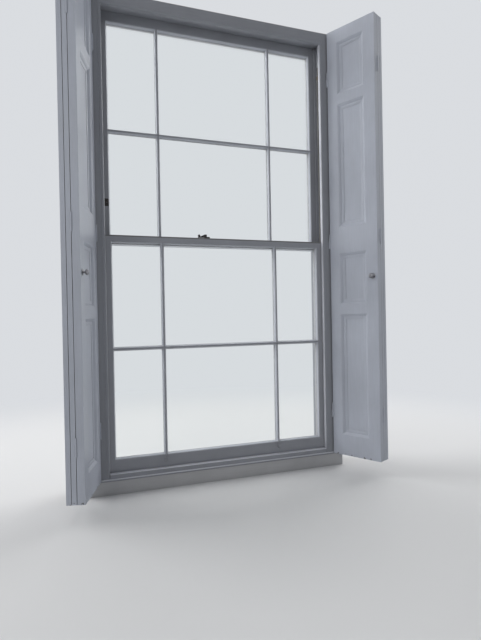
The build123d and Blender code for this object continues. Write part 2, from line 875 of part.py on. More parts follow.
with BuildPart() as fastener_arm:
    hook_mid = hook_inside + hook_thick / 2
    with BuildSketch(Plane.XY.offset(arm_z)):
        with Locations((fastener_x, fastener_y)):
            Circle(fastener_post)
        with Locations((fastener_x - hook_mid / 2, fastener_y)):
            Rectangle(hook_mid, arm_width)
        with Locations((fastener_x - hook_mid + hook_thick, fastener_y)):
            Circle(arm_knob_radius)
        with Locations((fastener_x, fastener_y)):
            Circle(hook_inside + hook_thick, mode=Mode.INTERSECT)
    extrude(amount=arm_thick)
    with BuildSketch(Plane.XY.offset(arm_z - hook_drop)):
        with Locations((fastener_x, fastener_y)):
            Circle(hook_inside + hook_thick)
            Circle(hook_inside, mode=Mode.SUBTRACT)
        with Locations((fastener_x - hook_mid, fastener_y)):
            Rectangle(2 * hook_thick, arm_width, mode=Mode.INTERSECT)
    extrude(amount=hook_drop)
    with Locations((fastener_x - hook_mid + hook_thick, fastener_y, arm_top_z)):
        Cylinder(arm_knob_neck, arm_knob_rise, align=(Align.CENTER, Align.CENTER, Align.MIN))
    with Locations((fastener_x - hook_mid + hook_thick, fastener_y, arm_top_z + arm_knob_rise)):
        Sphere(arm_knob_radius)
    prism(
        (
            (fastener_x + arm_hub_back, arm_z),
            (fastener_x + arm_hub_back, arm_z + arm_hub_height),
            (fastener_x - arm_hub_flat, arm_z + arm_hub_height),
            (fastener_x - arm_hub_length, arm_top_z),
            (fastener_x - arm_hub_length, arm_z),
        ),
        Plane.XZ.offset(-fastener_y - arm_width / 2),
        arm_width,
    )
    with Locations((fastener_x, fastener_y, arm_z)):
        Cylinder(
            fastener_pin + axle_play,
            pin_top_z + arm_play - arm_z,
            align=(Align.CENTER, Align.CENTER, Align.MIN),
            mode=Mode.SUBTRACT,
        )
save(fastener_arm.part, "fastener_arm")

with BuildPart() as fastener_keep:
    keep_y = fastener_y - keep_lip_outside
    block(
        fastener_x - keep_plate_length / 2,
        fastener_x + keep_plate_length / 2,
        keep_y - keep_plate_front,
        keep_y - keep_plate_front + keep_plate_width,
        meeting_top_z,
        fastener_top_z,
    )
    block(
        fastener_x - half_sash,
        fastener_x + half_sash,
        lip_low_y + lip_splay,
        fastener_y,
        meeting_top_z,
        fastener_top_z,
        Mode.SUBTRACT,
    )
    with BuildSketch(Plane.XY.offset(fastener_top_z)):
        with Locations((fastener_x, fastener_y)):
            Circle(keep_lip_outside)
            Circle(keep_lip_outside - keep_lip_thick, mode=Mode.SUBTRACT)
        half_lip = keep_lip_outside * sin(radians(keep_half_angle))
        with Locations((fastener_x, keep_y)):
            Rectangle(2 * half_lip, keep_lip_outside, mode=Mode.INTERSECT)
    extrude(amount=keep_lip_height)
save(fastener_keep.part, "fastener_keep")

# Shutters, drawn folded in a frame of their own: U along the front leaf from its hinge pin,
# W into the box, away from the face that shows
leaf_plane = Plane(
    origin=(shutter_pin_x, shutter_pin_y, 0),
    x_dir=(sin(radians(box_splay)), -cos(radians(box_splay)), 0),
    z_dir=(0, 0, 1),
)


def bevel(w):
    """Where the front leaf's hinge edge stands, at depth w behind its face."""
    return leaf_edge_gap + leaf_edge_bevel * w


def barrel(pin, radius, z0, z1, mode=Mode.ADD):
    """An upright cylinder about a hinge pin, from z0 to z1."""
    with Locations((pin[0], pin[1], z0)):
        Cylinder(radius, z1 - z0, align=(Align.CENTER, Align.CENTER, Align.MIN), mode=mode)


def hinge_half(pin, radius, z, upper, plate):
    """Half of one butt hinge: its plate and its share of the barrel, the lower half with the pin."""
    with BuildPart() as half:
        z0 = z + barrel_end_gap / 2 if upper else z - hinge_length / 2
        z1 = z + hinge_length / 2 if upper else z - barrel_end_gap / 2
        barrel(pin, radius, z0, z1)
        prism(plate, Plane.XY.offset(z0), z1 - z0)
        if upper:
            barrel(pin, hinge_pin + hinge_pin_play, z0, z1, Mode.SUBTRACT)
        else:
            barrel(pin, hinge_pin, z1, z + hinge_length / 2)
    return half.part


def plate_along(u0, u1, w0, w1):
    """A hinge plate's outline, flat against a leaf's face."""
    return ((u0, w0), (u1, w0), (u1, w1), (u0, w1))


def panelled_leaf(outline, u_left, u_right, w_panel, moulding):
    """The framing of one leaf, grooved for its panels, and the panels in their grooves. The inner
    edge of the moulding, when it has one, is that wide inside the edges of its stiles and rails."""
    u0, u1 = u_left + moulding, u_right - moulding
    openings = [(low + moulding, high - moulding) for low, high in panel_heights]
    with BuildPart() as framing:
        prism(outline, Plane.XY.offset(shutter_bottom_z), shutter_height)
        depth = max(w for _, w in outline)
        near = min(w for _, w in outline)
        for low, high in openings:
            block(u0, u1, near, depth, low, high, Mode.SUBTRACT)
            block(
                u0 - panel_groove,
                u1 + panel_groove,
                w_panel,
                w_panel + panel_thick,
                low - panel_groove,
                high + panel_groove,
                Mode.SUBTRACT,
            )
            if moulding:
                cut_leaf_moulding(u0, u1, low, high, near)
    tongue = panel_groove - panel_play
    with BuildPart() as panels:
        for low, high in openings:
            block(u0 - tongue, u1 + tongue, w_panel, w_panel + panel_thick, low - tongue, high + tongue)
    return framing.part, panels.part


def finish_leaf(framing, panels, cuts, halves):
    """Let the hinges into a leaf's framing, and put the leaf where it stands."""
    with BuildPart() as cut:
        add(framing)
        for pin, radius in cuts:
            for z in hinge_heights:
                barrel(
                    pin, radius + barrel_clearance, z - hinge_length / 2, z + hinge_length / 2, Mode.SUBTRACT
                )
        for half in halves:
            add(half, mode=Mode.SUBTRACT)
    solids = [*cut.part.solids(), *panels.solids()]
    for half in halves:
        solids += half.solids()
    return Compound(children=[leaf_plane.from_local_coords(solid) for solid in solids])


# Plates of the three hinge lines, each as seen from above
jamb_plate_end = jamb_plate_inset + jamb_plate_width
jamb_plate = (
    (bevel(jamb_plate_inset), jamb_plate_inset),
    (bevel(jamb_plate_end), jamb_plate_end),
    (bevel(jamb_plate_end) + hinge_plate_thick, jamb_plate_end),
    (bevel(jamb_plate_inset) + hinge_plate_thick, jamb_plate_inset),
)
leaf_plate = plate_along(pin_1[0] - hinge_plate_width, pin_1[0], leaf_thick - hinge_plate_thick, leaf_thick)
flap_1_plate = plate_along(pin_1[0] - hinge_plate_width, pin_1[0], flap_1_near, flap_1_near + hinge_plate_thick)
flap_1_back_plate = plate_along(pin_2[0], pin_2[0] + hinge_plate_width, flap_1_far - hinge_plate_thick, flap_1_far)
flap_2_plate = plate_along(pin_2[0], pin_2[0] + hinge_plate_width, flap_2_near, flap_2_near + hinge_plate_thick)
jamb_pin = (0, 0)

front_outline = (
    (bevel(0), 0),
    (leaf_width, 0),
    (leaf_width, leaf_thick),
    (bevel(leaf_thick), leaf_thick),
)
front_halves = [hinge_half(jamb_pin, jamb_barrel, z, True, jamb_plate) for z in hinge_heights]
front_halves += [hinge_half(pin_1, flap_barrel, z, False, leaf_plate) for z in hinge_heights]
front_leaf = finish_leaf(
    *panelled_leaf(
        front_outline, hinge_stile, leaf_width - meeting_stile, leaf_moulding_deep, leaf_moulding_width
    ),
    ((jamb_pin, jamb_barrel), (pin_1, flap_barrel)),
    front_halves,
)

flap_1_outline = plate_along(flap_inner_u, leaf_width, flap_1_near, flap_1_far)
flap_1_halves = [hinge_half(pin_1, flap_barrel, z, True, flap_1_plate) for z in hinge_heights]
flap_1_halves += [hinge_half(pin_2, flap_barrel, z, False, flap_1_back_plate) for z in hinge_heights]
flap_recess = (flap_thick - panel_thick) / 2
middle_flap = finish_leaf(
    *panelled_leaf(
        flap_1_outline, flap_inner_u + flap_margin, leaf_width - flap_margin, flap_1_near + flap_recess, 0
    ),
    ((pin_1, flap_barrel), (pin_2, flap_barrel)),
    flap_1_halves,
)

flap_2_outline = plate_along(flap_inner_u, leaf_width, flap_2_near, flap_2_far)
flap_2_halves = [hinge_half(pin_2, flap_barrel, z, True, flap_2_plate) for z in hinge_heights]
back_flap = finish_leaf(
    *panelled_leaf(
        flap_2_outline, flap_inner_u + flap_margin, leaf_width - flap_margin, flap_2_near + flap_recess, 0
    ),
    ((pin_2, flap_barrel),),
    flap_2_halves,
)

# Fixed halves of the jamb hinges, screwed to the inside lining
fixed_halves = []
for z in hinge_heights:
    with BuildPart() as fixed_half:
        z0 = z - hinge_length / 2
        z1 = z - barrel_end_gap / 2
        barrel((shutter_pin_x, shutter_pin_y), jamb_barrel, z0, z1)
        barrel((shutter_pin_x, shutter_pin_y), hinge_pin, z1, z + hinge_length / 2)
        block(
            shutter_pin_x - jamb_barrel,
            shutter_pin_x + hinge_plate_width,
            -lining_out_y - hinge_plate_thick,
            -lining_out_y,
            z0,
            z1,
        )
        block(
            shutter_pin_x - jamb_barrel,
            shutter_pin_x - jamb_barrel + 2 * hinge_plate_thick,
            shutter_pin_y,
            -lining_out_y,
            z0,
            z1,
        )
    fixed_halves += fixed_half.part.solids()
shutter_hinges = Compound(children=fixed_halves)

# Knob: turned, with a rose against the face of the front leaf
with BuildPart() as knob:
    with BuildSketch(Plane.XY):
        with BuildLine():
            Polyline(
                (0, 0),
                (rose_radius, 0),
                (rose_radius, -rose_thick),
                (knob_neck, -rose_thick - rose_cove),
                (knob_neck, knob_radius - knob_reach + knob_neck),
            )
            Spline(
                (knob_neck, knob_radius - knob_reach + knob_neck),
                (knob_radius, knob_radius * 0.8 - knob_reach),
                (0, -knob_reach),
                tangents=((1, -0.4), (-1, 0)),
            )
            Line((0, -knob_reach), (0, 0))
        make_face()
    revolve(axis=Axis.Y)
shutter_knob = leaf_plane.from_local_coords(Pos(knob_u, 0, knob_z) * knob.part)

left_pin = Axis((-shutter_pin_x, shutter_pin_y, 0), (0, 0, 1))
for part, name, moves in (
    (front_leaf, "shutter_front", True),
    (middle_flap, "shutter_middle_flap", True),
    (back_flap, "shutter_back_flap", True),
    (shutter_knob, "shutter_knob", True),
    (shutter_hinges, "shutter_hinges", False),
):
    save(part, f"{name}_right")
    left = mirror(part, about=Plane.YZ)
    save(left.rotate(left_pin, left_ajar) if moves else left, f"{name}_left")
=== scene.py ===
from math import cos, pi, radians, sin

import bmesh
import bpy
from mathutils import Matrix, Vector


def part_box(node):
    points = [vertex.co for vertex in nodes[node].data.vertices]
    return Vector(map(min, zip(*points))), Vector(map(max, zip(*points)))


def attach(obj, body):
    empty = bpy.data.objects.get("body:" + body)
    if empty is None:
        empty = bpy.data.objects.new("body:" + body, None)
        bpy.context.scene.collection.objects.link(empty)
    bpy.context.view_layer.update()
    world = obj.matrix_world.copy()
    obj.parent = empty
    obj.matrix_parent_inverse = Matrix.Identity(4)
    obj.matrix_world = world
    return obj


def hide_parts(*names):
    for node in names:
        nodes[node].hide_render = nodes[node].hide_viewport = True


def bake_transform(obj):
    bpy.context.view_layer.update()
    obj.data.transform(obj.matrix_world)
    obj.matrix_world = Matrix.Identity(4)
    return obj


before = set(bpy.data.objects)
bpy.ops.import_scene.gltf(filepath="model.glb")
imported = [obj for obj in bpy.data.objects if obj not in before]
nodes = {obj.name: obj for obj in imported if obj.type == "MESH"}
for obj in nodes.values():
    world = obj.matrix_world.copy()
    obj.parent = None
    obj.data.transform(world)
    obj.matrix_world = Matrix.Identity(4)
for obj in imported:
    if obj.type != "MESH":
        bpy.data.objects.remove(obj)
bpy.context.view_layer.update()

# Camera of the photograph, in metres, degrees and pixels, in the row frame
CAMERA_PLACE = (-0.7592, -2.4165, 0.8102)
CAMERA_YAW = 19.84
CAMERA_PITCH = -0.43
CAMERA_ROLL = -1.09
CAMERA_NEAREST = 0.05
FOCAL_PX = 496.94
IMAGE_HEIGHT_PX = 640
SENSOR_MM = 36

# Colours, as linear values
# The frame's and the sashes' paint is the shutters' white paint set darker: painted shade.
FRAME_SHADED_COLOUR = (0.28, 0.29, 0.32)
SASH_SHADED_COLOUR = (0.295, 0.305, 0.335)
# Lighter sash paint for faces that look along the wall, where the street's light falls: painted light.
SASH_SIDES_LIT = (0.50, 0.52, 0.57)
SHUTTER_COLOUR = (0.46, 0.485, 0.55)
SILL_COLOUR = (0.46, 0.46, 0.47)
PUTTY_COLOUR = (0.50, 0.50, 0.52)
# Paler paint on the beads' sight edges and on the tops of the sill bead and the nosing: a painted
# highlight of the street's light.
HIGHLIGHT_PAINT = (0.60, 0.61, 0.66)
RUBBED_PAINT = (0.74, 0.73, 0.70)
# Grime, which in corners and quirks is also painted shade.
GRIME_AND_SHADE = (0.16, 0.15, 0.14)
QUIRK_GRIME_AND_SHADE = (0.09, 0.085, 0.085)
# A darker band along the top of the lower meeting rail.
DARK_TOP_COLOUR = (0.10, 0.095, 0.09)
CHIPPED = (0.075, 0.065, 0.06)
BARE_PINE = (0.30, 0.205, 0.125)
PINE_GRAIN = (0.15, 0.095, 0.055)
PINE_SOIL = (0.11, 0.095, 0.08)
CORD_COLOUR = (0.27, 0.265, 0.255)
CORD_SHADE = (0.15, 0.148, 0.14)
GLASS_TINT = (0.97, 0.99, 0.985)
KNOB_METAL = (0.30, 0.30, 0.32)
KNOB_STAIN = (0.13, 0.125, 0.13)
DARK_METAL = (0.030, 0.027, 0.027)
DARK_STAIN = (0.06, 0.05, 0.045)
BRASS = (0.20, 0.15, 0.085)
BRASS_STAIN = (0.10, 0.07, 0.04)
DULL_BRASS = (0.115, 0.10, 0.08)
DULL_BRASS_STAIN = (0.07, 0.065, 0.06)
IRON = (0.055, 0.05, 0.048)
RUST = (0.12, 0.06, 0.035)

# Floor, world and lamps. A lamp is its name, place, aim, size in metres and power in watts
FLOOR_COLOUR = (0.66, 0.66, 0.66)
FLOOR_HALF_SIDE = 40.0
FLOOR_FADE = (1.4, 3.2)
SEEN_BEHIND = (0.70, 0.72, 0.75)
DAYLIGHT = (0.93, 0.96, 1.0)
ROOM_LIGHT = 0.27
SKY_LIGHT = 0.55
ROOM_TO_SKY = (-0.25, 0.45)
LAMPS = (
    ("sky_left", (-4.4, 2.8, 3.2), (0, 0, 1.1), 4.0, 180.0),
    ("sky_right", (4.4, 2.4, 3.2), (0, 0, 1.1), 4.0, 150.0),
    ("sky_above", (0.0, 1.3, 4.6), (0, 0, 0.6), 3.0, 60.0),
    ("room_fill", (-3.6, -3.4, 2.8), (0, 0, 1.1), 2.6, 42.0),
)

# Roughness of each finish
FRAME_ROUGHNESS = 0.42
BEAD_ROUGHNESS = 0.34
SASH_ROUGHNESS = 0.36
SHUTTER_ROUGHNESS = 0.40
SILL_ROUGHNESS = 0.48
PUTTY_ROUGHNESS = 0.5

# Stretch of the brush marks and the grain for pieces that run up or across
UP = (1.0, 1.0, 0.022)
ACROSS = (0.022, 1.0, 1.0)
PINE_UP = (1.0, 1.0, 0.03)
EVEN = (1.0, 1.0, 1.0)

# Scales of the noises and the braid, per metre: the higher, the finer
BRUSH_MARKS = 420.0
BROAD_PATCHES = 5.0
SPECKS = 160.0
CHIPS = 75.0
PINE_RINGS = 90.0
PINE_PATCHES = 4.0
METAL_PATCHES = 60.0
GLASS_WAVES = 7.0
CORD_SOIL = 22.0
BRAID = 190.0

# How much of each layer shows on old paint and metal, from 0 to 1
STREAKS_SHOW = 0.10
HIGHLIGHT_SHOWS = 0.95
DARK_TOP_SHOWS = 0.75
RUBBED_METAL_SHOWS = 0.5

# How far grime and painted shade, the darker top band, chips and rubbing reach from corners and edges,
# in metres
CORNER_REACH = 0.02
QUIRK_REACH = 0.0045
DARK_TOP_FADE = 0.004
CHIP_FADE = 0.008
RUBBED_EDGE = 0.0016
RUBBED_METAL_EDGE = 0.0008

GLASS_IOR = 1.45

# Sizes of what is added to the frame, in metres
EDGE_SOFTNESS = 0.0008
SMALL_SOFTNESS = 0.0004
SKIN = 0.001
BEAD_ARRIS = 0.0045
DARK_TOP_DEPTH = 0.008
CHIPPED_EDGE = 0.012
REBATE = 0.006
PANE_BED = 0.005
CORD_RADIUS = 0.0035
CORD_SIDES = 14
CORD_STEP = 0.012
CORD_RUN_STEPS = 24
CORD_TURN_STEPS = 32
CORD_IN_WEIGHT = 0.02
KNOT_BELOW_TOP = 0.27
KNOT_RADIUS = 0.0075
KNOT_DROP = 0.012
KNOT_STEPS = 10
KNOT_SIDES = 16

# Screw heads: their radius, and how far they stand from their plate's edge
CASE_SCREW, CASE_INSET = 0.0038, 0.012
STOP_SCREW, STOP_INSET = 0.0026, 0.006
FASTENER_SCREW, FASTENER_INSET = 0.003, 0.007
FASTENER_PLATE = 0.003
KEEP_SCREWS_IN = 0.0055
LIFT_SCREW, LIFT_INSET, LIFT_PLATE = 0.0028, 0.006, 0.003

# Nodes whose meshes keep sharp edges, small fittings that are softened less, and the angles
# in degrees past which an edge is sharp
SHARP_NODES = ("glass", "sash_cord", "pulley_wheel", "shutter_", "sash_weight")
SMALL_NODES = ("fastener", "sash_stop", "sash_lifts", "pulley_cases")
SHARP_ANGLE = 35
PIECE_SHARP_ANGLE = 40

BOX_FACES = ((0, 1, 2, 3), (4, 5, 6, 7), (0, 1, 5, 4), (1, 2, 6, 5), (2, 3, 7, 6), (3, 0, 4, 7))


def material(name, colour, roughness, metallic=0.0):
    """A new material with its Principled shader, and the shader's node tree."""
    made = bpy.data.materials.new(name)
    made.use_nodes = True
    tree = made.node_tree
    shader = tree.nodes["Principled BSDF"]
    shader.inputs["Base Color"].default_value = (*colour, 1)
    shader.inputs["Roughness"].default_value = roughness
    shader.inputs["Metallic"].default_value = metallic
    return made, tree, shader


def add_node(tree, kind, **settings):
    """A new node. Each setting is one of its properties, or the value of the input it names."""
    node = tree.nodes.new(kind)
    for key, value in settings.items():
        if hasattr(node, key):
            setattr(node, key, value)
        else:
            node.inputs[key.replace("_", " ")].default_value = value
    return node


def feed(tree, socket, value):
    """Link a socket to another, or give it a colour or a number."""
    if isinstance(value, bpy.types.NodeSocket):
        tree.links.new(value, socket)
    elif isinstance(value, tuple):
        socket.default_value = (*value, 1)
    else:
        socket.default_value = value


def math_node(tree, operation, first, second):
    """first and second, sockets or numbers, put together by one operation."""
    node = add_node(tree, "ShaderNodeMath", operation=operation)
    feed(tree, node.inputs[0], first)
    feed(tree, node.inputs[1], second)
    return node.outputs[0]


def magnitude(tree, value):
    """value without its sign."""
    return math_node(tree, "ABSOLUTE", value, 0.0)


def ramp(tree, value, low, high, low_out=0.0, high_out=1.0):
    """value spread from low..high onto low_out..high_out, smoothly."""
    spread = add_node(
        tree,
        "ShaderNodeMapRange",
        interpolation_type="SMOOTHSTEP",
        From_Min=low,
        From_Max=high,
        To_Min=low_out,
        To_Max=high_out,
    )
    tree.links.new(value, spread.inputs["Value"])
    return spread.outputs["Result"]


def blend_colour(tree, factor, first, second):
    """A mix of two colours, each a tuple or a socket, by a socket or a number."""
    mix = add_node(tree, "ShaderNodeMix", data_type="RGBA")
    feed(tree, mix.inputs[0], factor)
    feed(tree, mix.inputs[6], first)
    feed(tree, mix.inputs[7], second)
    return mix.outputs[2]


def blend_shaders(tree, factor, first, second, output):
    """Give the named output a mix of two shaders."""
    mix = add_node(tree, "ShaderNodeMixShader")
    for socket, value in zip(mix.inputs, (factor, first.outputs[0], second.outputs[0])):
        tree.links.new(value, socket)
    tree.links.new(mix.outputs[0], tree.nodes[output].inputs["Surface"])


def own_place(tree):
    """The place of a point in the object's own metres."""
    return add_node(tree, "ShaderNodeTexCoord").outputs["Object"]


def part_of(tree, vector, axis):
    """One coordinate of a vector."""
    split = add_node(tree, "ShaderNodeSeparateXYZ")
    tree.links.new(vector, split.inputs[0])
    return split.outputs[axis]


def stretched_noise(tree, scale, stretch, detail=4.0, roughness=0.55):
    """Noise in the object's own metres, drawn out along one axis."""
    mapping = add_node(tree, "ShaderNodeMapping", Scale=stretch)
    noise = add_node(tree, "ShaderNodeTexNoise", Scale=scale, Detail=detail, Roughness=roughness)
    tree.links.new(own_place(tree), mapping.inputs["Vector"])
    tree.links.new(mapping.outputs["Vector"], noise.inputs["Vector"])
    return noise.outputs["Fac"]


def bump(tree, shader, height, strength, distance, rounded=0.0):
    """Bump the shader's normal by height, over edges that are rounded to a radius."""
    node = add_node(tree, "ShaderNodeBump", Strength=strength, Distance=distance)
    tree.links.new(height, node.inputs["Height"])
    if rounded:
        soft = add_node(tree, "ShaderNodeBevel", samples=4, Radius=rounded)
        tree.links.new(soft.outputs["Normal"], node.inputs["Normal"])
    tree.links.new(node.outputs["Normal"], shader.inputs["Normal"])


def crease(tree, distance):
    """0 in the open and 1 deep in a corner."""
    node = add_node(tree, "ShaderNodeAmbientOcclusion", samples=6, Distance=distance)
    return math_node(tree, "SUBTRACT", 1.0, node.outputs["AO"])


def edge(tree, radius):
    """0 on flats and 1 along a sharp edge."""
    rounded = add_node(tree, "ShaderNodeBevel", samples=4, Radius=radius)
    plain = add_node(tree, "ShaderNodeNewGeometry")
    dot = add_node(tree, "ShaderNodeVectorMath", operation="DOT_PRODUCT")
    tree.links.new(rounded.outputs["Normal"], dot.inputs[0])
    tree.links.new(plain.outputs["Normal"], dot.inputs[1])
    return ramp(tree, dot.outputs["Value"], 0.995, 0.85)


def beyond(tree, past_x, past_z):
    """1 where a point is farther out than past_x or higher than past_z, and 0 elsewhere."""
    far = magnitude(tree, part_of(tree, own_place(tree), "X"))
    high = part_of(tree, own_place(tree), "Z")
    past_side = math_node(tree, "GREATER_THAN", far, past_x)
    return math_node(tree, "MAXIMUM", past_side, math_node(tree, "GREATER_THAN", high, past_z))


def within(tree, axis, low, high):
    """1 where the distance from the middle along axis is between low and high, and 0 elsewhere."""
    far = magnitude(tree, part_of(tree, own_place(tree), axis))
    past_low = math_node(tree, "GREATER_THAN", far, low)
    return math_node(tree, "MULTIPLY", past_low, math_node(tree, "LESS_THAN", far, high))


def height_above(tree, low, high):
    """0 below the height low and 1 above high, in the object's own metres."""
    return ramp(tree, part_of(tree, own_place(tree), "Z"), low, high)


def faces_sideways(tree):
    """1 where a surface faces along the wall, and 0 where it faces the room or the street: where
    painted light is laid on the paint.
    """
    normal = add_node(tree, "ShaderNodeNewGeometry").outputs["Normal"]
    return ramp(tree, magnitude(tree, part_of(tree, normal, "Y")), 0.70, 0.95, 1.0, 0.0)


def pine(tree, strokes):
    """The colour of sawn softwood that has darkened with age, and its grain."""
    rings = stretched_noise(tree, PINE_RINGS, strokes, 6.0, 0.65)
    broad = stretched_noise(tree, PINE_PATCHES, (1.0, 1.0, 0.4), 3.0)
    grained = blend_colour(tree, ramp(tree, rings, 0.35, 0.7), BARE_PINE, PINE_GRAIN)
    return blend_colour(tree, ramp(tree, broad, 0.4, 0.7, 0.0, 0.35), grained, PINE_SOIL), rings


def uneven_colour(tree, colour, broad):
    """A colour that is a little darker and lighter in broad patches."""
    shade = add_node(tree, "ShaderNodeVectorMath", operation="SCALE")
    shade.inputs[0].default_value = colour
    tree.links.new(ramp(tree, broad, 0.3, 0.7, 0.93, 1.04), shade.inputs["Scale"])
    return shade.outputs[0]


def grimed_and_shaded(tree, paint, marks, dirt_and_shade):
    """Paint with grime in its brush marks, and with grime and painted shade in its corners and, darker,
    in its quirks.
    """
    streaked = blend_colour(tree, ramp(tree, marks, 0.35, 0.75, 0.0, STREAKS_SHOW), paint, GRIME_AND_SHADE)
    corner = math_node(tree, "MULTIPLY", ramp(tree, crease(tree, CORNER_REACH), 0.35, 0.95), dirt_and_shade)
    grimy_and_shaded = blend_colour(tree, corner, streaked, GRIME_AND_SHADE)
    deep = ramp(tree, crease(tree, QUIRK_REACH), 0.4, 0.9)
    quirk = math_node(tree, "MULTIPLY", deep, min(1.0, dirt_and_shade * 1.3))
    return blend_colour(tree, quirk, grimy_and_shaded, QUIRK_GRIME_AND_SHADE)


def old_paint(
    name,
    colour,
    roughness,
    strokes,
    dirt_and_shade=0.55,
    wear=0.5,
    bare_past=None,
    darker_above=None,
    chipped_below=None,
    highlight_range=None,
    sides=None,
    rounded=0.0,
):
    """Old brushed paint on joinery: brush marks, uneven colour, grime and painted shade in corners,
    rubbed edges.

    Past bare_past, a distance from the middle and a height, the wood was never painted.
    Above the height darker_above it is darker, and below the height chipped_below it is
    chipped. highlight_range, an axis and a range along it, is where it is paler: a painted
    highlight. sides is a lighter colour for what faces neither the room nor the street:
    painted light. rounded is the radius of its edges, for a node whose mesh isn't softened.
    """
    made, tree, shader = material(name, colour, roughness)
    marks = stretched_noise(tree, BRUSH_MARKS, strokes, 3.0)
    broad = stretched_noise(tree, BROAD_PATCHES, (1.0, 1.0, 0.6), 5.0, 0.6)
    specks = stretched_noise(tree, SPECKS, EVEN, 2.0)
    paint = uneven_colour(tree, colour, broad)
    # Painted light: a lighter colour on faces that look along the wall.
    if sides:
        paint = blend_colour(tree, faces_sideways(tree), paint, sides)
    # Painted highlight: a paler colour over the given range.
    if highlight_range:
        highlit = math_node(tree, "MULTIPLY", within(tree, *highlight_range), HIGHLIGHT_SHOWS)
        paint = blend_colour(tree, highlit, paint, HIGHLIGHT_PAINT)
    # Grime and painted shade in the corners and quirks.
    paint = grimed_and_shaded(tree, paint, marks, dirt_and_shade)
    # Darker above the given height.
    if darker_above:
        head = height_above(tree, darker_above, darker_above + DARK_TOP_FADE)
        paint = blend_colour(tree, math_node(tree, "MULTIPLY", head, DARK_TOP_SHOWS), paint, DARK_TOP_COLOUR)
    worn_edge = edge(tree, RUBBED_EDGE)
    rubbed = math_node(tree, "MULTIPLY", worn_edge, ramp(tree, specks, 0.52, 0.62, 0.0, wear))
    paint = blend_colour(tree, rubbed, paint, RUBBED_PAINT)
    if chipped_below:
        above = height_above(tree, chipped_below - CHIP_FADE, chipped_below)
        foot = math_node(tree, "SUBTRACT", 1.0, above)
        chips = ramp(tree, stretched_noise(tree, CHIPS, EVEN, 3.0), 0.61, 0.64)
        paint = blend_colour(tree, math_node(tree, "MULTIPLY", foot, chips), paint, CHIPPED)
    if bare_past:
        paint = blend_colour(tree, beyond(tree, *bare_past), paint, pine(tree, strokes)[0])
    tree.links.new(paint, shader.inputs["Base Color"])
    rough = ramp(tree, broad, 0.3, 0.7, roughness - 0.06, roughness + 0.08)
    tree.links.new(rough, shader.inputs["Roughness"])
    height = math_node(tree, "ADD", marks, math_node(tree, "MULTIPLY", specks, 0.25))
    bump(tree, shader, height, 0.35, 0.0006, rounded)
    return made


def bare_wood(name, strokes):
    """Sawn softwood, darkened with age."""
    made, tree, shader = material(name, BARE_PINE, 0.78)
    aged, rings = pine(tree, strokes)
    tree.links.new(aged, shader.inputs["Base Color"])
    bump(tree, shader, rings, 0.5, 0.0008)
    return made


def dulled_metal(name, colour, roughness, tarnish, metallic=1.0):
    """Old metal with uneven tarnish and brighter rubbed edges."""
    made, tree, shader = material(name, colour, roughness, metallic)
    patches = stretched_noise(tree, METAL_PATCHES, EVEN, 5.0, 0.6)
    stained = blend_colour(tree, ramp(tree, patches, 0.4, 0.7, 0.0, 0.8), colour, tarnish)
    bright = tuple(min(1.0, 1.8 * part + 0.05) for part in colour)
    worn_edge = math_node(tree, "MULTIPLY", edge(tree, RUBBED_METAL_EDGE), RUBBED_METAL_SHOWS)
    tree.links.new(blend_colour(tree, worn_edge, stained, bright), shader.inputs["Base Color"])
    rough = ramp(tree, patches, 0.35, 0.7, roughness, min(1.0, roughness + 0.25))
    tree.links.new(rough, shader.inputs["Roughness"])
    bump(tree, shader, patches, 0.2, 0.0004)
    return made


def drawn_glass(name):
    """Clear old glass, a little uneven, so its reflections waver. It casts no shadow."""
    made, tree, shader = material(name, GLASS_TINT, 0.0)
    shader.inputs["Transmission Weight"].default_value = 1.0
    shader.inputs["IOR"].default_value = GLASS_IOR
    waves = stretched_noise(tree, GLASS_WAVES, (1.0, 1.0, 0.5), 1.0)
    bump(tree, shader, waves, 0.04, 0.002)
    through = add_node(tree, "ShaderNodeBsdfTransparent")
    shadow_ray = add_node(tree, "ShaderNodeLightPath").outputs["Is Shadow Ray"]
    blend_shaders(tree, shadow_ray, shader, through, "Material Output")
    return made


def braided_cord(name):
    """Waxed cotton sash cord: a fine braid, soiled where it runs."""
    made, tree, shader = material(name, CORD_COLOUR, 0.85)
    braid = add_node(
        tree,
        "ShaderNodeTexWave",
        wave_type="BANDS",
        bands_direction="DIAGONAL",
        Scale=BRAID,
        Distortion=1.5,
    )
    tree.links.new(own_place(tree), braid.inputs["Vector"])
    soil = stretched_noise(tree, CORD_SOIL, (1.0, 1.0, 0.4), 4.0)
    thread = blend_colour(tree, braid.outputs["Fac"], CORD_SHADE, CORD_COLOUR)
    dirty = blend_colour(tree, ramp(tree, soil, 0.45, 0.7, 0.0, 0.6), thread, GRIME_AND_SHADE)
    tree.links.new(dirty, shader.inputs["Base Color"])
    bump(tree, shader, braid.outputs["Fac"], 0.7, 0.0007)
    return made


def set_material(obj, made):
    """Give every slot of an object one material."""
    if not obj.data.materials:
        obj.data.materials.append(made)
    for index in range(len(obj.data.materials)):
        obj.data.materials[index] = made


def soften(obj, width):
    """Round a CAD node's sharp edges a little, as paint and wear do, with modifiers alone."""
    obj.data.shade_smooth()
    weld = obj.modifiers.new("weld", "WELD")
    weld.merge_threshold = 1e-6
    round_off = obj.modifiers.new("round_off", "BEVEL")
    round_off.width = width
    round_off.segments = 2
    round_off.limit_method = "ANGLE"
    round_off.angle_limit = radians(SHARP_ANGLE)
    weigh = obj.modifiers.new("weigh", "WEIGHTED_NORMAL")
    weigh.weight = 100


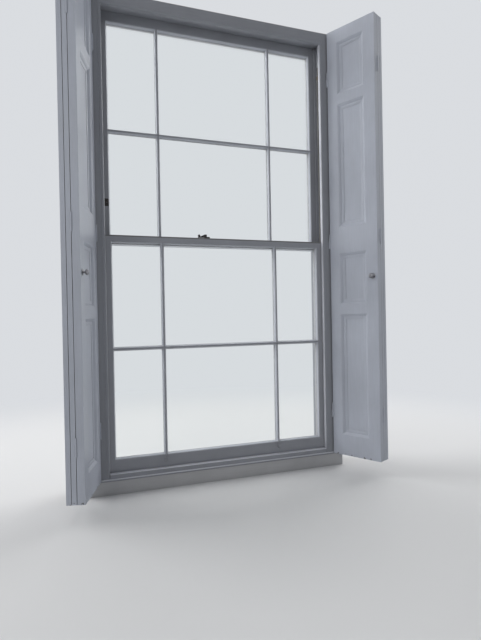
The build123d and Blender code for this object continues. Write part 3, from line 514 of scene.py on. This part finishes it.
def new_piece(name, shape, body, made):
    """A mesh piece at the origin, from a (verts, faces) shape, that rides on body, if given one."""
    verts, faces = shape
    mesh = bpy.data.meshes.new(name)
    mesh.from_pydata([tuple(v) for v in verts], [], faces)
    mesh.update()
    obj = bpy.data.objects.new(name, mesh)
    bpy.context.scene.collection.objects.link(obj)
    outward = bmesh.new()
    outward.from_mesh(mesh)
    bmesh.ops.recalc_face_normals(outward, faces=outward.faces)
    outward.to_mesh(mesh)
    outward.free()
    mesh.shade_smooth()
    mesh.set_sharp_from_angle(angle=radians(PIECE_SHARP_ANGLE))
    mesh.materials.append(made)
    if body:
        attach(obj, body)
    return obj


def join_shapes(shapes):
    """Several (verts, faces) lists as one."""
    verts, faces = [], []
    for some_verts, some_faces in shapes:
        start = len(verts)
        verts += some_verts
        faces += [tuple(start + index for index in face) for face in some_faces]
    return verts, faces


def islands(node):
    """The lowest and highest corners of each separate solid in a CAD node."""
    shape = bmesh.new()
    shape.from_mesh(nodes[node].data)
    bmesh.ops.remove_doubles(shape, verts=shape.verts, dist=1e-6)
    left = set(shape.verts)
    boxes = []
    for seed in shape.verts:
        if seed not in left:
            continue
        left.discard(seed)
        group, todo = [], [seed]
        while todo:
            vert = todo.pop()
            group.append(vert.co)
            for link in vert.link_edges:
                other = link.other_vert(vert)
                if other in left:
                    left.discard(other)
                    todo.append(other)
        low = Vector([min(place[axis] for place in group) for axis in range(3)])
        high = Vector([max(place[axis] for place in group) for axis in range(3)])
        boxes.append((low, high))
    shape.free()
    return boxes


def ringed_faces(rings, sides):
    """The faces over a row of rings of vertices, closed at both ends."""
    faces = []
    for ring in range(rings - 1):
        for side in range(sides):
            a = ring * sides + side
            b = ring * sides + (side + 1) % sides
            faces.append((a, b, b + sides, a + sides))
    faces.append(tuple(range(sides)))
    faces.append(tuple((rings - 1) * sides + side for side in range(sides)))
    return faces


def tube(points, radius, sides):
    """A round tube along points, closed at both ends."""
    verts = []
    up = Vector((0, 1, 0))
    for index, point in enumerate(points):
        before, after = points[max(index - 1, 0)], points[min(index + 1, len(points) - 1)]
        along = (after - before).normalized()
        across = along.cross(up).normalized()
        for side in range(sides):
            turn = 2 * pi * side / sides
            verts.append(point + radius * (cos(turn) * across + sin(turn) * up))
    return verts, ringed_faces(len(points), sides)


def turned(place, axis, profile, sides):
    """A solid of revolution about axis, from (radius, height) points along it."""
    axis = Vector(axis).normalized()
    one_way = axis.orthogonal().normalized()
    other_way = axis.cross(one_way)
    verts = []
    for radius, height in profile:
        middle = Vector(place) + axis * height
        for step in range(sides):
            turn = 2 * pi * step / sides
            verts.append(middle + radius * (cos(turn) * one_way + sin(turn) * other_way))
    return verts, ringed_faces(len(profile), sides)


def screw_head(place, axis, slot_way, radius):
    """A slotted countersunk screw head, standing just proud of the face it is in."""
    place = Vector(place)
    axis = Vector(axis).normalized()
    way = Vector(slot_way).normalized()
    other = axis.cross(way)
    half_slot, deep, proud, rows = radius * 0.16, radius * 0.35, radius * 0.08, 12
    half_disc = []
    for step in range(rows + 1):
        turn = -pi / 2 + pi * step / rows
        half_disc.append((radius * sin(turn), max(radius * cos(turn), half_slot)))
    count = len(half_disc)
    verts, faces = [], []
    for sign in (-1, 1):
        start = len(verts)
        for level in (proud, -deep):
            for along, out in half_disc:
                verts.append(place + axis * level + way * along + other * sign * out)
        faces.append(tuple(start + index for index in range(count)))
        faces.append(tuple(start + count + index for index in range(count)))
        for index in range(count):
            nxt = (index + 1) % count
            faces.append((start + index, start + nxt, start + count + nxt, start + count + index))
    start = len(verts)
    corners = ((-radius, -half_slot), (radius, -half_slot), (radius, half_slot), (-radius, half_slot))
    for level in (-deep * 0.7, -deep):
        for along, out in corners:
            verts.append(place + axis * level + way * along + other * out)
    faces += [tuple(start + index for index in face) for face in BOX_FACES]
    return verts, faces


# Where paint ends and bare wood begins, where it is darker along a top edge or chipped, and where it
# has a painted highlight
opening_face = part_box("pulley_stile_right")[0].x
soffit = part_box("inside_lining_head")[0].z
wall_face, frame_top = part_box("inside_lining_right")[1].x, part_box("inside_lining_right")[1].z
bead_sight, bead_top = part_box("staff_bead_right")[0].x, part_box("staff_bead_sill")[1].z
nosing_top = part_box("sill_nosing")[1].z
meeting_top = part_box("lower_meeting_rail")[1].z
shutter_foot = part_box("shutter_front_right")[0].z

# The frame's paint is set darker than the shutters': painted shade.
frame_up = old_paint("frame_paint_up", FRAME_SHADED_COLOUR, FRAME_ROUGHNESS, UP)
frame_across = old_paint("frame_paint_across", FRAME_SHADED_COLOUR, FRAME_ROUGHNESS, ACROSS)
lining_up = old_paint(
    "lining_paint_up",
    FRAME_SHADED_COLOUR,
    FRAME_ROUGHNESS,
    UP,
    bare_past=(wall_face - SKIN, frame_top - SKIN),
)
lining_across = old_paint(
    "lining_paint_across",
    FRAME_SHADED_COLOUR,
    FRAME_ROUGHNESS,
    ACROSS,
    bare_past=(wall_face, frame_top - SKIN),
)
stile_up = old_paint(
    "pulley_stile_paint",
    FRAME_SHADED_COLOUR,
    FRAME_ROUGHNESS,
    UP,
    bare_past=(opening_face + SKIN, frame_top),
)
soffit_across = old_paint(
    "soffit_paint",
    FRAME_SHADED_COLOUR,
    FRAME_ROUGHNESS,
    ACROSS,
    bare_past=(wall_face, soffit + SKIN),
)
# The beads' sight edges and the tops of the sill bead and the nosing are paler: a painted highlight.
bead_up = old_paint(
    "bead_paint_up",
    FRAME_SHADED_COLOUR,
    BEAD_ROUGHNESS,
    UP,
    highlight_range=("X", 0.0, bead_sight + EDGE_SOFTNESS),
)
bead_sill = old_paint(
    "bead_paint_sill",
    FRAME_SHADED_COLOUR,
    BEAD_ROUGHNESS,
    ACROSS,
    highlight_range=("Z", bead_top - BEAD_ARRIS, bead_top + 1),
)
nosing_paint = old_paint(
    "nosing_paint",
    FRAME_SHADED_COLOUR,
    BEAD_ROUGHNESS,
    ACROSS,
    highlight_range=("Z", nosing_top - BEAD_ARRIS, nosing_top + 1),
)
# The sash paint is set darker than the shutters' (painted shade) and lighter on faces that look along
# the wall (painted light).
sash_up = old_paint("sash_paint_up", SASH_SHADED_COLOUR, SASH_ROUGHNESS, UP, sides=SASH_SIDES_LIT)
sash_across = old_paint("sash_paint_across", SASH_SHADED_COLOUR, SASH_ROUGHNESS, ACROSS, sides=SASH_SIDES_LIT)
# The lower meeting rail is darker in a band along its top.
meeting_rail_paint = old_paint(
    "meeting_rail_paint",
    SASH_SHADED_COLOUR,
    SASH_ROUGHNESS,
    ACROSS,
    darker_above=meeting_top - DARK_TOP_DEPTH,
    sides=SASH_SIDES_LIT,
)
# More grime and painted shade in the shutters' corners and mouldings.
shutter_up = old_paint(
    "shutter_paint_up",
    SHUTTER_COLOUR,
    SHUTTER_ROUGHNESS,
    UP,
    dirt_and_shade=0.7,
    wear=0.35,
    chipped_below=shutter_foot + CHIPPED_EDGE,
    rounded=EDGE_SOFTNESS,
)
sill_across = old_paint("sill_paint_across", SILL_COLOUR, SILL_ROUGHNESS, ACROSS, dirt_and_shade=0.7, wear=0.7)
fitting_paint = old_paint("fitting_paint", SASH_SHADED_COLOUR, BEAD_ROUGHNESS, UP, dirt_and_shade=0.6, wear=0.7)
putty_paint = old_paint("putty_paint", PUTTY_COLOUR, PUTTY_ROUGHNESS, UP, dirt_and_shade=0.6, wear=0.2)
pine_up = bare_wood("bare_pine_up", PINE_UP)
knob_metal = dulled_metal("knob_metal", KNOB_METAL, 0.26, KNOB_STAIN, 0.9)
dark_metal = dulled_metal("dark_metal", DARK_METAL, 0.38, DARK_STAIN, 0.6)
brass = dulled_metal("old_brass", BRASS, 0.38, BRASS_STAIN)
dull_brass = dulled_metal("dull_brass", DULL_BRASS, 0.5, DULL_BRASS_STAIN, 0.6)
iron = dulled_metal("cast_iron", IRON, 0.62, RUST, 0.7)
glass = drawn_glass("drawn_glass")
cord_cotton = braided_cord("cord_cotton")

MATERIAL_OF = {
    "sill": sill_across,
    "sill_nosing": nosing_paint,
    "head": soffit_across,
    "inside_lining_head": lining_across,
    "outside_lining_head": lining_across,
    "staff_bead_head": frame_across,
    "staff_bead_sill": bead_sill,
    "back_linings": pine_up,
    "weight_dividers": pine_up,
    "pocket_pieces": stile_up,
    "pulley_cases": dull_brass,
    "lower_meeting_rail": meeting_rail_paint,
    "lower_bottom_rail": sash_across,
    "upper_meeting_rail": sash_across,
    "upper_top_rail": sash_across,
    "lower_glass": glass,
    "upper_glass": glass,
    "sash_lifts": fitting_paint,
    "sash_stop": dark_metal,
    "fastener_base": dark_metal,
    "fastener_arm": dark_metal,
    "fastener_keep": dark_metal,
}
MATERIAL_BY_START = (
    ("shutter_knob", knob_metal),
    ("staff_bead", bead_up),
    ("pulley_stile", stile_up),
    ("inside_lining", lining_up),
    ("outside_lining", lining_up),
    ("shutter_", shutter_up),
    ("sash_weight", iron),
    ("pulley_wheel", brass),
    ("sash_cord", cord_cotton),
    ("upper_", sash_up),
    ("lower_", sash_up),
    ("", frame_up),
)


def dress_nodes():
    """Give each CAD node its material, and soften the edges of what is planed or cast."""
    for name, obj in nodes.items():
        by_start = next(made for start, made in MATERIAL_BY_START if name.startswith(start))
        set_material(obj, MATERIAL_OF.get(name, by_start))
        if any(word in name for word in SHARP_NODES):
            obj.data.shade_smooth()
            obj.data.set_sharp_from_angle(angle=radians(SHARP_ANGLE))
        else:
            soften(obj, SMALL_SOFTNESS if name.startswith(SMALL_NODES) else EDGE_SOFTNESS)


def putty_fillet(low, high, back_y):
    """The putty round one pane, sloped from the rebate's edge to the sight line."""
    outer = REBATE - PANE_BED - 0.0001
    inner = PANE_BED - 0.0005
    levels = (
        (outer, high.y),
        (outer, back_y - 0.0012),
        (-inner * 0.35, (high.y + back_y) / 2 + 0.0015),
        (-inner, high.y + 0.0006),
        (-inner, high.y),
    )
    verts, faces = [], []
    for grow, y in levels:
        left, right, foot, top = low.x - grow, high.x + grow, low.z - grow, high.z + grow
        for x, z in ((left, foot), (right, foot), (right, top), (left, top)):
            verts.append(Vector((x, y, z)))
    for level in range(len(levels)):
        this, following = 4 * level, 4 * ((level + 1) % len(levels))
        for corner in range(4):
            nxt = (corner + 1) % 4
            faces.append((this + corner, this + nxt, following + nxt, following + corner))
    return verts, faces


def sash_putty(sash):
    """The putty of all the panes of a sash."""
    back_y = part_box(f"{sash}_stile_left")[1].y
    fillets = [putty_fillet(low, high, back_y) for low, high in islands(f"{sash}_glass")]
    new_piece(f"{sash}_putty", join_shapes(fillets), f"{sash}_sash", putty_paint)


def straight(start, end, steps):
    """Evenly spaced points from start to end."""
    start, end = Vector(start), Vector(end)
    return [start.lerp(end, step / steps) for step in range(steps + 1)]


def sash_cord(sash, side):
    """A cord in three pieces, with its knot.

    They are the run to its sash, the turn over the wheel and the run to its weight.
    """
    name = f"sash_cord_{sash}_{side}"
    wheel_low, wheel_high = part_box(f"pulley_wheel_{sash}_{side}")
    middle = (wheel_low + wheel_high) / 2
    y, top = middle.y, middle.z
    low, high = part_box(name)
    radius = (high.x - low.x) / 2 - CORD_RADIUS
    inward = -1 if side == "right" else 1
    sash_x, weight_x = middle.x + inward * radius, middle.x - inward * radius
    weight_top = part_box(f"sash_weight_{sash}_{side}")[1].z
    knot_z = (meeting_top if sash == "lower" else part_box(f"upper_stile_{side}")[1].z) - KNOT_BELOW_TOP
    for run, x, foot, body in (
        ("sash_run", sash_x, knot_z, f"{sash}_sash"),
        ("weight_run", weight_x, weight_top - CORD_IN_WEIGHT, f"sash_weight_{sash}_{side}"),
    ):
        steps = max(CORD_RUN_STEPS, int((top - foot) / CORD_STEP))
        shape = tube(straight((x, y, top), (x, y, foot), steps), CORD_RADIUS, CORD_SIDES)
        piece = new_piece(f"{name}_{run}", shape, None, cord_cotton)
        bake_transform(piece)
    arc = []
    for step in range(CORD_TURN_STEPS + 1):
        turn = pi * step / CORD_TURN_STEPS
        arc.append(Vector((middle.x + inward * radius * cos(turn), y, top + radius * sin(turn))))
    shape = tube(arc, CORD_RADIUS, CORD_SIDES)
    piece = new_piece(f"{name}_turn", shape, "frame", cord_cotton)
    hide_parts(name)
    knot = []
    for step in range(KNOT_STEPS + 1):
        turn = pi * step / KNOT_STEPS
        knot.append((KNOT_RADIUS * sin(turn) + 0.0002, KNOT_RADIUS * (1 - cos(turn)) * 1.2))
    shape = turned((sash_x, y, knot_z - KNOT_DROP), (0, 0, 1), knot, KNOT_SIDES)
    new_piece(f"{name}_knot", shape, f"{sash}_sash", cord_cotton)


def pulley_screws():
    """Two slotted screws in each pulley's faceplate."""
    for low, high in islands("pulley_cases"):
        side, x, outward = ("right", low.x, -1) if low.x > 0 else ("left", high.x, 1)
        y = (low.y + high.y) / 2
        sash = "lower" if y < 0 else "upper"
        heads = [
            screw_head((x, y, z), (outward, 0, 0), (0, 1, 0.35), CASE_SCREW)
            for z in (low.z + CASE_INSET, high.z - CASE_INSET)
        ]
        name = f"pulley_screws_{sash}_{side}"
        new_piece(name, join_shapes(heads), "frame", dull_brass)


def stop_screws():
    """Two slotted screws in the sash stop's plate."""
    low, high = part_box("sash_stop")
    x = (low.x + high.x) / 2
    heads = [
        screw_head((x, low.y, z), (0, -1, 0), (1, 0, 0.6), STOP_SCREW)
        for z in (low.z + STOP_INSET, high.z - STOP_INSET)
    ]
    new_piece("sash_stop_screws", join_shapes(heads), "upper_sash", dark_metal)


def fastener_screws():
    """The screw of the fastener's base that its arm leaves in sight, and the keep's two."""
    for name, body in (("fastener_base", "upper_sash"), ("fastener_keep", "lower_sash")):
        low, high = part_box(name)
        y, places = (low.y + high.y) / 2, [low.x + FASTENER_INSET]
        if name == "fastener_keep":
            y, places = low.y + KEEP_SCREWS_IN, [low.x + FASTENER_INSET, high.x - FASTENER_INSET]
        heads = [
            screw_head((x, y, low.z + FASTENER_PLATE), (0, 0, 1), (1, 0.5, 0), FASTENER_SCREW)
            for x in places
        ]
        new_piece(f"{name}_screws", join_shapes(heads), body, dark_metal)


def lift_screws():
    """The screw of each sash lift."""
    for low, high in islands("sash_lifts"):
        x = (low.x + high.x) / 2
        side = "right" if x > 0 else "left"
        place = (x, high.y - LIFT_PLATE, high.z - LIFT_INSET)
        shape = screw_head(place, (0, -1, 0), (1, 0, 0.3), LIFT_SCREW)
        new_piece(f"lift_screw_{side}", shape, "lower_sash", fitting_paint)


def seen_ray(tree):
    """1 for a ray that shows the stage, also mirrored or through glass, and 0 for one that lights."""
    path = add_node(tree, "ShaderNodeLightPath")
    ray = math_node(tree, "MAXIMUM", path.outputs["Is Camera Ray"], path.outputs["Is Transmission Ray"])
    return math_node(tree, "MAXIMUM", ray, path.outputs["Is Glossy Ray"])


def pale_floor():
    """A plain pale floor that keeps the window's shadow and fades into what is seen behind."""
    far_x = far_y = FLOOR_HALF_SIDE
    corners = [(-far_x, -far_y, 0), (far_x, -far_y, 0), (far_x, far_y, 0), (-far_x, far_y, 0)]
    mesh = bpy.data.meshes.new("floor")
    mesh.from_pydata(corners, [], [(0, 1, 2, 3)])
    floor = bpy.data.objects.new("floor", mesh)
    bpy.context.scene.collection.objects.link(floor)
    made, tree, shader = material("floor_pale", FLOOR_COLOUR, 0.9)
    reach = add_node(tree, "ShaderNodeVectorMath", operation="LENGTH")
    tree.links.new(own_place(tree), reach.inputs[0])
    far = math_node(tree, "MULTIPLY", ramp(tree, reach.outputs["Value"], *FLOOR_FADE), seen_ray(tree))
    glow = add_node(tree, "ShaderNodeEmission", Color=(*SEEN_BEHIND, 1))
    blend_shaders(tree, far, shader, glow, "Material Output")
    mesh.materials.append(made)


def pale_world():
    """Daylight that is stronger from the street than from the room, and a plain pale surround."""
    world = bpy.data.worlds.new("pale_world")
    bpy.context.scene.world = world
    world.use_nodes = True
    tree = world.node_tree
    light = tree.nodes["Background"]
    light.inputs["Color"].default_value = (*DAYLIGHT, 1)
    way = part_of(tree, add_node(tree, "ShaderNodeTexCoord").outputs["Generated"], "Y")
    tree.links.new(ramp(tree, way, *ROOM_TO_SKY, ROOM_LIGHT, SKY_LIGHT), light.inputs["Strength"])
    seen = add_node(tree, "ShaderNodeBackground", Color=(*SEEN_BEHIND, 1), Strength=1.0)
    blend_shaders(tree, seen_ray(tree), light, seen, "World Output")


def soft_lamps():
    """Large soft lamps, three for the sky and one for the room."""
    for name, place, aim, size, power in LAMPS:
        lamp = bpy.data.lights.new(name, "AREA")
        lamp.energy = power
        lamp.size = size
        obj = bpy.data.objects.new(name, lamp)
        obj.location = place
        obj.rotation_euler = (Vector(aim) - Vector(place)).to_track_quat("-Z", "Y").to_euler()
        bpy.context.scene.collection.objects.link(obj)


def photo_camera():
    """The camera where the photographer stood, turned and rolled as theirs was."""
    yaw, pitch, roll = radians(CAMERA_YAW), radians(CAMERA_PITCH), radians(CAMERA_ROLL)
    ahead = Vector((sin(yaw) * cos(pitch), cos(yaw) * cos(pitch), sin(pitch)))
    right = Vector((cos(yaw), -sin(yaw), 0))
    above = right.cross(ahead)
    rolled_right = right * cos(roll) + above * sin(roll)
    rolled_above = above * cos(roll) - right * sin(roll)
    data = bpy.data.cameras.new("photo_camera")
    data.sensor_fit = "VERTICAL"
    data.sensor_height = SENSOR_MM
    data.lens = FOCAL_PX / IMAGE_HEIGHT_PX * SENSOR_MM
    data.clip_start = CAMERA_NEAREST
    obj = bpy.data.objects.new("photo_camera", data)
    turn = Matrix((rolled_right, rolled_above, -ahead)).transposed()
    obj.matrix_world = Matrix.Translation(CAMERA_PLACE) @ turn.to_4x4()
    bpy.context.scene.collection.objects.link(obj)
    bpy.context.scene.camera = obj


photo_camera()
bpy.context.scene.view_settings.view_transform = "Standard"
dress_nodes()
for sash_name in ("lower", "upper"):
    sash_putty(sash_name)
for sash_name in ("lower", "upper"):
    for side_name in ("left", "right"):
        sash_cord(sash_name, side_name)
pulley_screws()
stop_screws()
fastener_screws()
lift_screws()
pale_floor()
pale_world()
soft_lamps()
